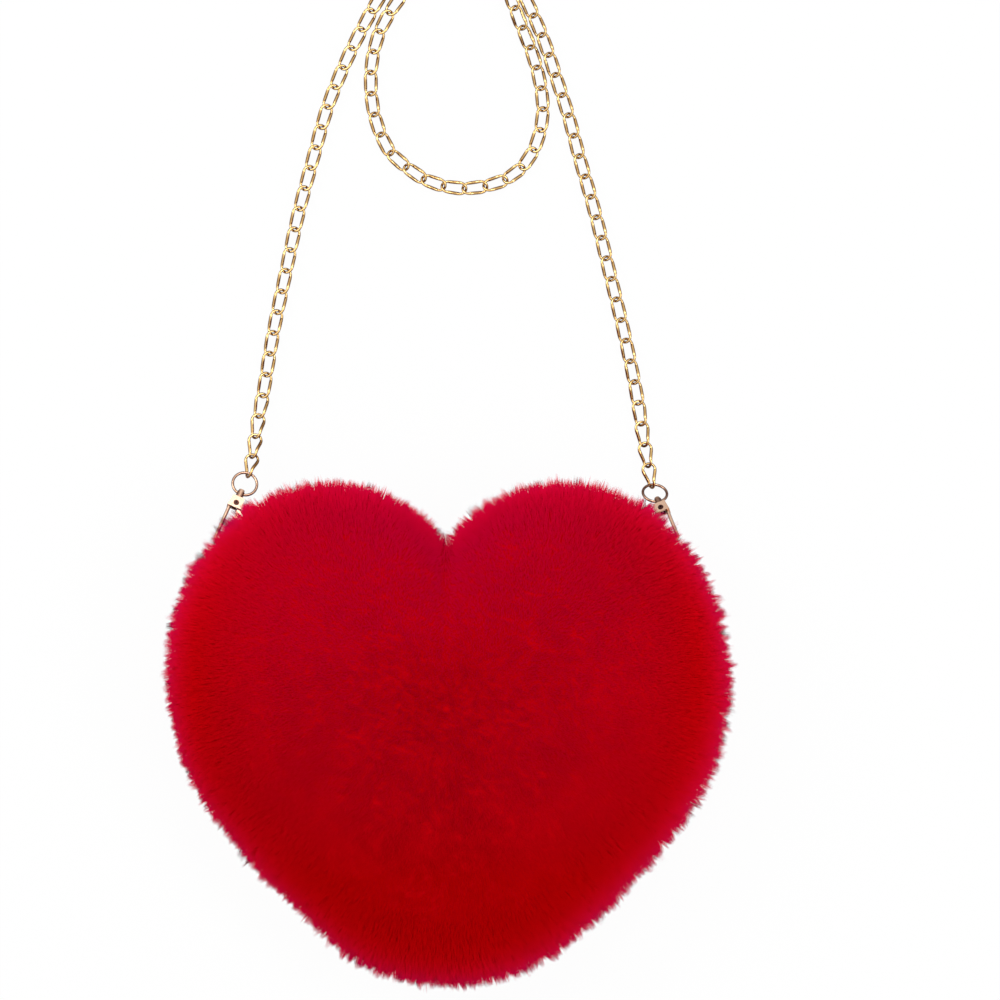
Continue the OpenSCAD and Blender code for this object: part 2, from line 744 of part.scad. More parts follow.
module chain(from, to) {
    color(GOLD) for (i = [from:to - 1]) {
        a = on_strap(i * pitch);
        b = on_strap((i + 1) * pitch);
        d = b - a;
        translate((a + b) / 2)
            rotate([0, -atan2(d.z, norm([d.x, d.y])), atan2(d.y, d.x)])
                rotate([link_roll(i), 0, 0]) link();
    }
}

echo(strap_mm = strap_len + 2 * (clasp_l + ring_r), links = links, pitch = pitch);
echo(fold_low_left = on_strap(fold_low * pitch), fold_low_right = on_strap((links - fold_low) * pitch));
echo(fold_high_left = on_strap(fold_high * pitch),
    fold_high_right = on_strap((links - fold_high) * pitch));
echo(eye_left = eye(-1), clasp_left = clasp_dir(-1), eye_right = eye(1), clasp_right = clasp_dir(1));
echo(zip_mm = zip_len, teeth = teeth_n, tape_r = tape_r, slider_turn_end = notch_to - teeth_end);

module front_fur_panel() {
    color(FUR) difference() {
        shell(0, fur_in, front_rise);
        zip_slit();
        for (side = [-1, 1]) {
            parting(side, front_rise);
            tab_slot(side);
        }
    }
}

module back_fur_panel() {
    color(FUR) difference() {
        shell(0, fur_in, -back_swell);
        zip_slit();
        for (side = [-1, 1]) {
            parting(side, -back_swell);
            tab_slot(side);
        }
    }
}

module lined(out, in, rise) {
    difference() {
        shell(out, in, rise);
        zip_slit();
    }
}

module front_padding() { color(FOAM) lined(pad_out, pad_in, front_rise); }
module back_padding() { color(FOAM) lined(pad_out, pad_in, -back_swell); }
module front_lining() { color(LINING) lined(lining_out, lining_in, front_rise); }
module back_lining() { color(LINING) lined(lining_out, lining_in, -back_swell); }

front_fur_panel();
back_fur_panel();
front_padding();
back_padding();
front_lining();
back_lining();
zip_tape(1);  // zip_tape_front
zip_tape(-1);  // zip_tape_back
zip_teeth(1);  // zip_teeth_front
zip_teeth(-1);  // zip_teeth_back
zip_top_stops();
zip_bottom_stop();
zip_slider();
zip_pull();
strap_tab(-1);  // strap_tab_left
strap_tab(1);  // strap_tab_right
strap_loop(-1);  // strap_loop_left
strap_loop(1);  // strap_loop_right
hook_body(-1);  // hook_body_left
hook_body(1);  // hook_body_right
gate(-1);  // gate_left
gate(1);  // gate_right
gate_spring(-1);  // gate_spring_left
gate_spring(1);  // gate_spring_right
rivet(-1);  // rivet_left
rivet(1);  // rivet_right
swivel_post(-1);  // swivel_post_left
swivel_post(1);  // swivel_post_right
swivel_ring(-1);  // swivel_ring_left
swivel_ring(1);  // swivel_ring_right
chain(0, fold_low);  // chain_lower_left
chain(links - fold_low, links);  // chain_lower_right
chain(fold_low, fold_high);  // chain_middle_left
chain(links - fold_high, links - fold_low);  // chain_middle_right
chain(fold_high, links - fold_high);  // chain_upper
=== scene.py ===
# %% [markdown]
# # A heart shaped fur purse on a chain
# This script dresses a CAD model of a small padded purse. The CAD gives every piece its size and
# place; Blender gives it fur, cloth and polished metal. The purse lies on its back on a white
# table, its chain coiled above it, and the camera looks straight down.

# %% Loading the CAD model as a fixed frame
import bpy
import numpy as np
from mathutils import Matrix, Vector, kdtree, noise


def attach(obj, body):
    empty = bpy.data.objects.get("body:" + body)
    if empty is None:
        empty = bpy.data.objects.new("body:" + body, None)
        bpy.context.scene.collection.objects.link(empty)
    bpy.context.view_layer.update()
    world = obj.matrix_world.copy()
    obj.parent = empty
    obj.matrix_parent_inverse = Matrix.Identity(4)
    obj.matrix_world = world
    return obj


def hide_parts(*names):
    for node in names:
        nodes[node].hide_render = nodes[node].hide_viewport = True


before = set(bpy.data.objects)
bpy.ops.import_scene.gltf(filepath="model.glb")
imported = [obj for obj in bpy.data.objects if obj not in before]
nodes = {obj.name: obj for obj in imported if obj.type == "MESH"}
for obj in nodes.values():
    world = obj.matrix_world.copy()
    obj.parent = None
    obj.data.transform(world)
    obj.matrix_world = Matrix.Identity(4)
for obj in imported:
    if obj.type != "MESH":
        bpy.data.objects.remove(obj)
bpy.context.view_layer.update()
MM = 0.001

# %% [markdown]
# ## Shader maths as plain expressions
# A procedural material is a small sum: noise times a factor, one minus a mask. Wiring such sums
# by hand hides them in a tangle of nodes, so a wrapper around a socket adds the Math node for
# each operator that the materials use. A second class holds one material and makes every other
# node.

# %% A socket in sums: added, taken from a number, multiplied, raised to a power
class Signal:
    def __init__(self, tree, socket):
        self.tree, self.socket = tree, socket

    def math(self, operation, a, b):
        node = self.tree.nodes.new("ShaderNodeMath")
        node.operation = operation
        for slot, value in zip(node.inputs, (a, b)):
            if isinstance(value, Signal):
                self.tree.links.new(value.socket, slot)
            else:
                slot.default_value = value
        return Signal(self.tree, node.outputs[0])

    def __add__(self, other): return self.math("ADD", self, other)
    def __rsub__(self, other): return self.math("SUBTRACT", other, self)
    def __mul__(self, other): return self.math("MULTIPLY", self, other)
    def __pow__(self, other): return self.math("POWER", self, other)


# %% A finish: one material and the nodes that make it
class Finish:
    def __init__(self, name, slot=None):
        self.material = bpy.data.materials.new(name)
        self.material.use_nodes = True
        self.tree = self.material.node_tree
        self.slot = slot
        self.shader = self.tree.nodes["Principled BSDF"]
        self.output = self.tree.nodes["Material Output"]

    def node(self, kind, settings=None, out=0, **sockets):
        made = self.tree.nodes.new("ShaderNode" + kind)
        for name, value in (settings or {}).items():
            if name == "stops":
                ramp = made.color_ramp.elements
                while len(ramp) < len(value):
                    ramp.new(0.5)
                for stop, (place, colour) in zip(ramp, value):
                    stop.position, stop.color = place, (*colour, 1)
            else:
                setattr(made, name, value)
        for name, value in sockets.items():
            key = int(name[1:]) if name[1:].isdigit() else name.replace("_", " ")
            self.feed(made.inputs[key], value)
        return Signal(self.tree, made.outputs[out])

    def feed(self, socket, value):
        if isinstance(value, Signal):
            self.tree.links.new(value.socket, socket)
        elif isinstance(value, tuple) and len(value) == 3 and socket.type == "RGBA":
            socket.default_value = (*value, 1)
        else:
            socket.default_value = value

    def mix(self, factor, a, b):
        return self.node("Mix", {"data_type": "RGBA"}, out=2, i0=factor, i6=a, i7=b)

    def noise(self, scale, detail):
        return self.node("TexNoise", Vector=self.node("TexCoord", out=3), Scale=scale, Detail=detail)

    def set(self, **sockets):
        for name, value in sockets.items():
            self.feed(self.shader.inputs[name.replace("_", " ")], value)
        return self

    def bump(self, height, strength, distance):
        self.set(Normal=self.node("Bump", Height=height, Strength=strength, Distance=distance))
        return self

    def dress(self, *pieces):
        for piece in pieces:
            piece.data.materials.clear()
            piece.data.materials.append(self.material)
        return self


# %% [markdown]
# ## Camera, table and light
# The photograph looks straight down from well above, so that the purse hardly narrows toward
# its edges. A long lens far away does the same. The table is a white sheet. To the camera and in
# reflections it mostly glows in plain white, and the small share that is lit keeps the shadow.

# %% The camera above the table
SCALE = 0.5
PHOTO_SIZE, ORIGIN_PX, ORIGIN_PY = 1000, 447, 734
AIM = Vector(((PHOTO_SIZE / 2 - ORIGIN_PX) * SCALE, (ORIGIN_PY - PHOTO_SIZE / 2) * SCALE, 20)) * MM
DISTANCE = 2.6
FRAME_WIDTH = PHOTO_SIZE * SCALE * MM

lens = bpy.data.cameras.new("overhead")
lens.sensor_width = 36
lens.lens = lens.sensor_width * DISTANCE / FRAME_WIDTH
camera = bpy.data.objects.new("overhead_camera", lens)
camera.location = AIM + Vector((0, 0, DISTANCE))
bpy.context.collection.objects.link(camera)
bpy.context.scene.camera = camera
bpy.context.scene.view_settings.view_transform = "Standard"
bpy.context.scene.cycles.diffuse_bounces = 10
print("lens", round(lens.lens, 1), "mm")


# %% Making a mesh object from points and faces
def mesh_piece(name, points, faces, smooth=True):
    mesh = bpy.data.meshes.new(name)
    mesh.from_pydata([tuple(p) for p in np.asarray(points) * MM], [], faces)
    mesh.update()
    if smooth:
        mesh.shade_smooth()
    piece = bpy.data.objects.new(name, mesh)
    bpy.context.collection.objects.link(piece)
    return piece


# %% Which rays see the white
def rays(tree):
    """1 for rays straight from the camera, and 1 for rays seen in gloss or glass."""
    path = tree.nodes.new("ShaderNodeLightPath").outputs
    kinds = "Camera", "Glossy", "Transmission"
    direct, gloss, glass = (Signal(tree, path[f"Is {kind} Ray"]) for kind in kinds)
    return direct, gloss + glass


# %% The table and its white
FLOOR_HALF = 1500
table = mesh_piece("table", [(-FLOOR_HALF, -FLOOR_HALF, 0), (FLOOR_HALF, -FLOOR_HALF, 0),
                             (FLOOR_HALF, FLOOR_HALF, 0), (-FLOOR_HALF, FLOOR_HALF, 0)],
                   [(0, 1, 2, 3)], smooth=False)
paper = Finish("white_table")
seen, mirrored = rays(paper.tree)
glow = paper.node("Emission", Color=(1.0, 1.0, 1.0), Strength=1.0)
paper.set(Base_Color=(0.93, 0.93, 0.93), Roughness=0.9)
lit = Signal(paper.tree, paper.shader.outputs[0])
blend = paper.node("MixShader", Fac=seen * 0.96 + mirrored * 0.8, i1=lit, i2=glow)
paper.tree.links.new(blend.socket, paper.output.inputs[0])
paper.dress(table)


# %% Soft lamps round the table
def lamp(name, place, size, power):
    data = bpy.data.lights.new(name, "AREA")
    data.shape, data.size, data.energy = "DISK", size, power
    lamp_object = bpy.data.objects.new(name, data)
    lamp_object.location = place
    lamp_object.rotation_euler = (AIM - Vector(place)).to_track_quat("-Z", "Y").to_euler()
    bpy.context.collection.objects.link(lamp_object)


lamp("window_left", (-1.5, 0.9, 1.3), 1.1, 14)
lamp("window_right", (1.6, -0.3, 1.5), 0.9, 11)
lamp("softbox_top", (0.3, 1.4, 1.9), 0.8, 10)

world = bpy.data.worlds.new("room")
bpy.context.scene.world = world
world.use_nodes = True
sky = world.node_tree
seen, mirrored = rays(sky)
backdrop = sky.nodes["Background"]
backdrop.inputs["Color"].default_value = (1, 1, 1, 1)
sky.links.new(((seen + mirrored) * 0.4 + 0.6).socket, backdrop.inputs["Strength"])

# %% [markdown]
# ## The heart's outline and its domes
# Every soft piece of the purse follows one outline of tangent arcs, drawn in by the depth of
# the layer. The two faces are domes over that outline with a full, squarish section, and they
# fade the notch out toward the crown. The numbers are the CAD model's own.

# %% The outline, drawn in by a layer's depth
LOBE_R, LOBE_X, LOBE_Y = 72.0, 58.4, 55.4
SIDE_R, FLANK_R, TIP_R, NOTCH_R = 116.4, 382.0, 92.0, 3.0
SIDE_FROM, SIDE_TO = np.radians(38), np.radians(-37.3)
SEAM_Z, FRONT_RISE, BACK_SWELL = 33.0, 37.0, 36.0
PILE, BACKING = 12.0, 1.0


def heading(angle):
    return np.stack([np.cos(angle), np.sin(angle)], -1)


lobe = np.array([LOBE_X, LOBE_Y])
side = lobe - (SIDE_R - LOBE_R) * heading(SIDE_FROM)
flank = side - (FLANK_R - SIDE_R) * heading(SIDE_TO)
tip = np.array([0, flank[1] - np.sqrt((FLANK_R - TIP_R) ** 2 - flank[0] ** 2)])
TIP_FROM = np.arctan2(tip[1] - flank[1], -flank[0])
notch = np.array([0, LOBE_Y + np.sqrt((LOBE_R + NOTCH_R) ** 2 - LOBE_X ** 2)])
NOTCH_TO = np.arctan2(notch[1] - LOBE_Y, -LOBE_X)


STEP = 2.4


def outline(inset, step=STEP):
    """The whole outline, clockwise from the notch: each arc has its middle, radius, ends and steps."""
    arcs = [(notch, -(NOTCH_R + inset), np.pi / 2, NOTCH_TO, 14),
            (lobe, LOBE_R - inset, NOTCH_TO, SIDE_FROM, 54),
            (side, SIDE_R - inset, SIDE_FROM, SIDE_TO, 62),
            (flank, FLANK_R - inset, SIDE_TO, TIP_FROM, 34),
            (tip, TIP_R - inset, TIP_FROM, -np.pi / 2, 26)]
    half = []
    for middle, radius, start, stop, steps in arcs:
        n = max(2, round(steps * STEP / step))
        half.append(middle + radius * heading(start + (stop - start) * np.arange(n) / n))
    half = np.vstack(half + [tip - [[0, TIP_R - inset]]])
    return np.vstack([half, (half * [-1, 1])[-2:0:-1]])


# %% A dome over the outline, as rings from the seam to the crown
FULLNESS, NOTCH_FADE, CROWN_Y = 2.4, 0.8, 0.27 * LOBE_Y


def section(rings):
    """The dome's section, from seam to crown: its spread and its height as shares."""
    turn = np.linspace(0, 1, rings) ** 0.9 * np.pi / 2
    return np.maximum(np.cos(turn), 0.006) ** (2 / FULLNESS), np.sin(turn) ** (2 / FULLNESS)


def dome(inset, rise, rings=44, step=STEP):
    flat = outline(inset, step)
    s, f = section(rings)
    lift = np.where((abs(flat[:, 0]) < LOBE_X) & (flat[:, 1] > LOBE_Y),
                    (LOBE_Y + LOBE_R - inset - flat[:, 1]) * NOTCH_FADE, 0)
    x = s[:, None] * flat[:, 0]
    y = CROWN_Y + s[:, None] * (flat[:, 1] + lift * (1 - s[:, None]) - CROWN_Y)
    if rise > 0:
        z = SEAM_Z + f * (rise - inset)
    else:
        z = np.maximum(inset, SEAM_Z + f * (rise + inset))
    return np.stack([x, y, np.repeat(z[:, None], len(flat), 1)], -1)


print("outline points:", len(outline(0)), "dome:", dome(0, FRONT_RISE).shape)


# %% Where the clasps lie in the pile
EYE_X, EYE_Y, EYE_Z = 112.3, 99.0, 28.6
CLASP_HIDDEN, PARTING_FULL, PARTING_END = 26.0, 6.5, 12.0
SWINGS = range(0, 101, 20)
TAB_INSET, TAB_TURN = 6.34, np.radians(41.6)
TAB_X, BAR_Y = lobe + (LOBE_R - TAB_INSET) * heading(TAB_TURN)
CLASPS = []
for sign, yaw, slope in ((-1, 67.1, 24.1), (1, 110.4, 42.4)):
    yaw, slope = np.radians(yaw), np.radians(slope)
    CLASPS.append((np.array([sign * EYE_X, EYE_Y, EYE_Z]),
                   np.array([np.cos(slope) * np.cos(yaw), np.cos(slope) * np.sin(yaw), -np.sin(slope)])))


def smooth_step(value, start, stop):
    t = np.clip((value - start) / (stop - start), 0, 1)
    return t * t * (3 - 2 * t)


def off_clasp(points, swing=0):
    """The shortest way from the nearer clasp's middle line to each point, with the strap swung up."""
    c, s = np.cos(np.radians(swing)), np.sin(np.radians(swing))
    turn, pivot = np.array([[1, 0, 0], [0, c, -s], [0, s, c]]), np.array([0, BAR_Y, SEAM_Z])
    ways = []
    for eye, along in CLASPS:
        start, line = turn @ (eye - pivot) + pivot, turn @ along
        t = np.clip((points - start) @ line, -4, CLASP_HIDDEN)
        ways.append(points - (start + t[..., None] * line))
    nearer = np.linalg.norm(ways[0], axis=-1) < np.linalg.norm(ways[1], axis=-1)
    return np.where(nearer[..., None], *ways)


def parted(points, swings=(0,)):
    """1 where a clasp lies in the pile or swings through it, fading to 0 a few millimetres off."""
    gap = np.min([np.linalg.norm(off_clasp(points, swing), axis=-1) for swing in swings], axis=0)
    return 1 - smooth_step(gap, PARTING_FULL, PARTING_END)


def inland(rings):
    """0 at the rim and 1 a few centimetres in from it."""
    return smooth_step(1 - section(rings)[0], 0.06, 0.30)


# %% Closing two domes into a shell
def shell(name, outer_inset, inner_inset, rise, rings, step, crown_inset=None, sunk_to=None):
    outer, inner = dome(outer_inset, rise, rings, step), dome(inner_inset, rise, rings, step)
    if crown_inset:
        outer += (dome(crown_inset, rise, rings, step) - outer) * inland(rings)[:, None, None]
    if sunk_to:
        outer += (dome(sunk_to, rise, rings, step) - outer) * parted(outer, SWINGS)[..., None]
    n = outer.shape[1]
    points = np.vstack([outer.reshape(-1, 3), inner.reshape(-1, 3)])
    faces = []
    for layer, flip in ((0, rise > 0), (rings * n, rise < 0)):
        for k in range(rings - 1):
            for i in range(n):
                j = (i + 1) % n
                a, b = layer + k * n, layer + (k + 1) * n
                quad = (a + i, a + j, b + j, b + i)
                faces.append(quad[::-1] if flip else quad)
        cap = tuple(layer + (rings - 1) * n + i for i in range(n))
        faces.append(cap[::-1] if flip else cap)
    rim = rings * n
    for i in range(n):
        j = (i + 1) % n
        quad = (i, rim + i, rim + j, j)
        faces.append(quad[::-1] if rise > 0 else quad)
    return mesh_piece(name, points, faces)


# %% [markdown]
# ## Cutting tools
# The zip lies in a slit through pile, padding and lining. It is cut from the shells with the
# Boolean modifier, as scissors would.

# %% The zip's line and the slit around it
SLIT_END, TAPE_END, SLIT_H = np.radians(57.4), np.radians(58.6), 7.0


def zip_line(inset, end, step=2.0):
    n = max(4, round((LOBE_R - inset) * (NOTCH_TO - end) / step))
    m = max(6, round((NOTCH_R + inset) * (2 * NOTCH_TO - np.pi) / step))
    right = lobe + (LOBE_R - inset) * heading(end + (NOTCH_TO - end) * np.arange(n) / n)
    dip = notch - (NOTCH_R + inset) * heading(NOTCH_TO - (2 * NOTCH_TO - np.pi) * np.arange(m + 1) / m)
    return np.vstack([right, dip, (right * [-1, 1])[::-1]])


def prism(name, flat, low, high):
    n = len(flat)
    points = np.vstack([np.c_[flat, np.full(n, low)], np.c_[flat, np.full(n, high)]])
    faces = [tuple(range(n))[::-1], tuple(range(n, 2 * n))]
    faces += [(i, (i + 1) % n, n + (i + 1) % n, n + i) for i in range(n)]
    piece = mesh_piece(name, points, faces, smooth=False)
    piece.data.validate()
    return piece


def slit_tool():
    near, far = zip_line(-3, SLIT_END), zip_line(19, SLIT_END)
    return prism("slit_tool", np.vstack([near, far[::-1]]), SEAM_Z - SLIT_H, SEAM_Z + SLIT_H)


# %% Cutting with a tool and clearing it away
def cut(piece, tool):
    recess = piece.modifiers.new("cut", "BOOLEAN")
    recess.operation, recess.object, recess.solver = "DIFFERENCE", tool, "MANIFOLD"
    with bpy.context.temp_override(object=piece, active_object=piece):
        bpy.ops.object.modifier_apply(modifier=recess.name)
    bpy.data.objects.remove(tool)
    return piece


# %% [markdown]
# ## Fur
# The fur fabric is a pile of fine soft fibres, 12 mm deep, standing on a woven backing. From
# above the fibres are seen nearly end on and make a deep even red; at the rim they are seen from
# the side and turn pink, and there the strands are painted brighter and pinker, a painted rim light.
# The lower pile is a padded body and some 240,000 thin spikes grow from it to the tips.

# %% The red of the underfur, painted a little darker than the strands as shade deep in the pile
underfur = Finish("underfur", "fur")
clumps = underfur.noise(260, 3)
patches = underfur.noise(14, 2)
deep = underfur.mix(clumps, (0.56, 0.0001, 0.003), (0.62, 0.0002, 0.006))
underfur.set(Base_Color=underfur.mix(patches, deep, (0.59, 0.0001, 0.004)), Roughness=1.0)
underfur.set(Specular_IOR_Level=0.0).bump(clumps, 0.4, 0.0008)

# %% The body under the strands, one panel for each face
UNDER, UNDER_CROWN = 5.0, 2.6
rng = np.random.default_rng(7)


def ruffled(piece, strength, scale):
    """Moves each point along its normal by a soft noise."""
    moves = [v.normal * strength * MM * noise.noise(v.co * scale) for v in piece.data.vertices]
    for v, move in zip(piece.data.vertices, moves):
        v.co += move
    piece.data.update()
    return piece


fur_front = shell("fur_front_body", UNDER, PILE + BACKING, FRONT_RISE, 32, 3.2, UNDER_CROWN, PILE - 0.4)
fur_back = shell("fur_back_body", UNDER, PILE + BACKING, -BACK_SWELL, 32, 3.2, UNDER_CROWN, PILE - 0.4)
for panel in (fur_front, fur_back):
    cut(panel, slit_tool())
    ruffled(panel, 0.5, 60)
    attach(panel, "purse")
    underfur.dress(panel)
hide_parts("front_fur_panel")
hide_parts("back_fur_panel")
print("fur bodies:", len(fur_front.data.polygons), len(fur_back.data.polygons), "faces")


# %% Where the strands stand: even points over a dome, by area
def sprinkle(rise, count, rings=90):
    insets = -0.2, UNDER + 1, UNDER_CROWN + 1, PILE
    tips, roots, crown, deep = (dome(inset, rise, rings, 1.6) for inset in insets)
    roots += (crown - roots) * inland(rings)[:, None, None]
    roots += (deep - roots) * parted(roots, SWINGS)[..., None]
    n = tips.shape[1]
    right = np.roll(tips, -1, axis=1)
    area = np.linalg.norm(np.cross(right[:-1] - tips[:-1], tips[1:] - tips[:-1]), axis=-1).ravel()
    cell = rng.choice(len(area), count, p=area / area.sum())
    k, i = np.divmod(cell, n)
    j = (i + 1) % n
    u, v = rng.random((2, count, 1))
    places = [(grid[k, i] * (1 - u) + grid[k, j] * u) * (1 - v)
              + (grid[k + 1, i] * (1 - u) + grid[k + 1, j] * u) * v for grid in (roots, tips, deep)]
    inward = (1 - section(rings)[0][k]) * 100
    return places + [np.exp(-inward / 8)]


# %% How the strands lean, clump and vary
def wave(points, scale, seed):
    """A smooth random field between -1 and 1, as a sum of a few waves."""
    g = np.random.default_rng(seed)
    total = np.zeros(len(points))
    for _ in range(7):
        k = g.normal(size=3) / scale
        total += np.sin(points @ k + g.random() * 6.28)
    return total / 3.2


def tufted(ends, share, pull):
    """Draws the tips of neighbours together into small tufts."""
    heads = rng.choice(len(ends), int(len(ends) * share), replace=False)
    tree = kdtree.KDTree(len(heads))
    for n, head in enumerate(heads):
        tree.insert(ends[head], n)
    tree.balance()
    nearest = np.array([tree.find(end)[1] for end in ends])
    return ends + (ends[heads[nearest]] - ends) * pull[:, None]


def over_zip(points):
    turn = np.arctan2(points[:, 1] - LOBE_Y, np.abs(points[:, 0]) - LOBE_X)
    return (turn > SLIT_END) & (points[:, 1] > LOBE_Y)


def stand_out(points):
    """How far the brushed pile stands out past its even length at the rim, in mm."""
    x, y = points[:, 0], points[:, 1]
    flat_side = smooth_step(-x, -10, 50) * smooth_step(-y, -70, -20) * smooth_step(y, -115, -90)
    full_side = smooth_step(x, 10, 60) * smooth_step(-y, -40, 10)
    return 2.6 - 2.4 * flat_side + 1.6 * full_side


TUFT_SHARE, LEAN, LIP_DIP, CLASP_DIP = 0.05, 1.7, 2.4, 2.4
CLASP_LEVEL, ROOM_ABOVE, ROOM_BELOW = 31.0, 3.0, 5.0


def groomed(roots, tips, deep, rim):
    """Each strand's own upward direction, its lean and where its tip ends."""
    up = tips - deep
    up /= np.linalg.norm(up, axis=1, keepdims=True)
    lean = np.stack([0.5 * wave(tips, 22, 1) + 0.3 * wave(tips, 6, 2),
                     -0.45 + 0.5 * wave(tips, 20, 3) + 0.3 * wave(tips, 6, 4),
                     -0.2 + 0.2 * wave(tips, 18, 5)], -1)
    lean = lean * (0.18 + 0.82 * rim[:, None]) + rng.normal(size=tips.shape) * (0.25 + 0.35 * rim[:, None])
    lean -= up * np.sum(lean * up, axis=1, keepdims=True)
    length = np.clip(rng.normal(0.98, 0.05 + 0.06 * rim), 0.6, 1.35) + 0.04 * wave(tips, 9, 6)
    ends = roots + (tips - roots) * length[:, None] + lean * LEAN
    ruff = stand_out(tips) + 0.9 * wave(tips, 5, 7) + rng.normal(0, 0.8, len(tips))
    ends += up * (rim * ruff)[:, None]
    ends = tufted(ends, TUFT_SHARE, 0.03 + 0.72 * rim ** 1.5)
    height = ends[:, 2] - SEAM_Z
    lip = over_zip(tips) * (1 - smooth_step(np.abs(height), SLIT_H, SLIT_H + 7))
    ends[:, 2] -= np.sign(height) * lip * LIP_DIP
    away = off_clasp(ends)
    far = np.linalg.norm(away, axis=1, keepdims=True)
    room = np.where(ends[:, 2:] > CLASP_LEVEL, ROOM_ABOVE, ROOM_BELOW)
    ends += away / (far + 1e-6) * np.maximum(room - far, 0)
    ends -= up * (CLASP_DIP * parted(ends) * (ends[:, 2] > CLASP_LEVEL))[:, None]
    ends[:, 2] = np.maximum(ends[:, 2], 0.1)
    return up, lean, ends


# %% Turning strands into thin tapering spikes
def spikes(name, roots, tips, deep, rim, width):
    """Slim three-sided spikes, shaded by the pile's own direction so that they read as soft."""
    up, lean, ends = groomed(roots, tips, deep, rim)
    keep = ~(over_zip(roots) & (np.abs(roots[:, 2] - SEAM_Z) < SLIT_H - 0.3))
    roots, tips, up, lean, ends, rim = (a[keep] for a in (roots, tips, up, lean, ends, rim))
    count = len(roots)
    across = np.cross(up, rng.normal(size=up.shape))
    across /= np.linalg.norm(across, axis=1, keepdims=True)
    beside = np.cross(up, across)
    half = (width * rng.uniform(0.75, 1.25, count))[:, None] / 2
    corners = [roots + half * (np.cos(t) * across + np.sin(t) * beside) for t in np.radians((0, 120, 240))]
    points = np.stack(corners + [ends], 1).reshape(-1, 3)
    loops = (np.arange(count)[:, None] * 4 + np.array([0, 1, 3, 1, 2, 3, 2, 0, 3])).ravel()
    mesh = bpy.data.meshes.new(name)
    mesh.vertices.add(len(points))
    mesh.vertices.foreach_set("co", (points * MM).ravel())
    mesh.loops.add(len(loops))
    mesh.loops.foreach_set("vertex_index", loops)
    mesh.polygons.add(count * 3)
    mesh.polygons.foreach_set("loop_start", np.arange(count * 3) * 3)
    mesh.update(calc_edges=True)
    mesh.shade_smooth()
    tone = np.clip(0.5 + 0.12 * wave(tips, 9, 8) + rng.normal(0, 0.16, count), 0, 1)
    for label, values in (("along", np.tile([0, 0, 0, 1.0], count)), ("tone", np.repeat(tone, 4)),
                          ("rim", np.repeat(rim, 4))):
        mesh.attributes.new(label, "FLOAT", "POINT").data.foreach_set("value", values)
    facing = up + lean * 0.2 + np.sign(up[:, 2:]) * [[0, 0, 2.0]]
    facing /= np.linalg.norm(facing, axis=1, keepdims=True)
    mesh.normals_split_custom_set_from_vertices(np.repeat(facing, 4, axis=0).tolist())
    piece = bpy.data.objects.new(name, mesh)
    bpy.context.collection.objects.link(piece)
    return piece


# %% The strands' red: roots painted a little darker than tips as shade, rim tips painted pink as backlight
strand = Finish("fur_strands", "fur")
along, tone, rim = (strand.node("Attribute", {"attribute_name": label}, out=2)
                    for label in ("along", "tone", "rim"))
place = strand.node("TexCoord", out=3)
x, y = (strand.node("SeparateXYZ", out=axis, Vector=place) for axis in (0, 1))
# Painted sheen: toward the top and the middle the red is a little bluer, as a top light's pinkish sheen
# makes it.
top_sheen = strand.node("MapRange", Value=y, i1=-0.07, i2=0.05) * (1 - x * x * 64)
# Painted shade: each strand's root is a little darker than its tip.
plain_red = strand.mix(along, (0.64, 0.0001, 0.0008), (0.68, 0.0002, 0.0014))
top_sheen_red = strand.mix(along, (0.62, 0.0003, 0.026), (0.66, 0.0004, 0.042))
# Painted rim light: the rim's strands are painted at full red, brighter than the rest, for light shining
# through them.
rim_light_red = strand.mix(top_sheen, (1.0, 0.0010, 0.004), (1.0, 0.0012, 0.040))
plush = strand.mix(rim, strand.mix(top_sheen, plain_red, top_sheen_red), rim_light_red)
# Painted backlight: at the rim the tips turn pink, with darker magenta at their very ends.
backlit_tip_pink = strand.node("ValToRGB", {"stops": [(0.0, (1.0, 0.004, 0.04)), (0.7, (1.0, 0.010, 0.14)),
                                              (1.0, (0.42, 0.004, 0.12))]}, Fac=along)
plush = strand.mix(rim ** 3.0 * along, plush, backlit_tip_pink)
shade = strand.mix(tone, (0.96, 0.96, 0.96), (1.0, 1.0, 1.0))
red = strand.node("Mix", {"data_type": "RGBA", "blend_type": "MULTIPLY"}, out=2, i0=1.0, i6=plush, i7=shade)
strand.set(Base_Color=red, Roughness=1.0, Specular_IOR_Level=0.0)
strand.set(Sheen_Weight=0.1, Sheen_Roughness=0.5, Sheen_Tint=(1.0, 0.002, 0.02))

# %% Short pile on the lip below the zip
LIP_FROM, LIP_TO, LIP_LENGTH = 5.5, 12.5, 4.6


def lip_pile(count):
    """Strands on the slit's floor that lie outward, away from the zip."""
    turn = SLIT_END + (NOTCH_TO - 0.04 - SLIT_END) * rng.random(count)
    inset = rng.uniform(LIP_FROM, LIP_TO, count)
    right = rng.choice([-1, 1], count)

    def ring(depth, drop):
        flat = lobe + (LOBE_R - depth)[:, None] * heading(turn)
        return np.c_[flat[:, 0] * right, flat[:, 1], np.full(count, SEAM_Z - drop)]

    return [ring(inset, SLIT_H + 0.4), ring(inset - LIP_LENGTH, SLIT_H), ring(inset + 4, SLIT_H + 4),
            np.full(count, 0.35)]


# %% Growing the pile
PILE_COUNTS = {"front": (FRONT_RISE, 165000, 3), "back": (-BACK_SWELL, 80000, 2)}
LIP_COUNT, STRAND_W = 3000, 0.46
strands = []
for face, (rise, count, parts) in PILE_COUNTS.items():
    grown = sprinkle(rise, count)
    if face == "back":
        grown = [np.concatenate(pair) for pair in zip(grown, lip_pile(LIP_COUNT))]
    for part in range(parts):
        share = [g[part::parts] for g in grown]
        strands.append(spikes(f"fur_{face}_strands_{part + 1}", *share, STRAND_W))
for piece in strands:
    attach(piece, "purse")
    strand.dress(piece)
print("strands:", sum(len(s.data.vertices) for s in strands) // 4)
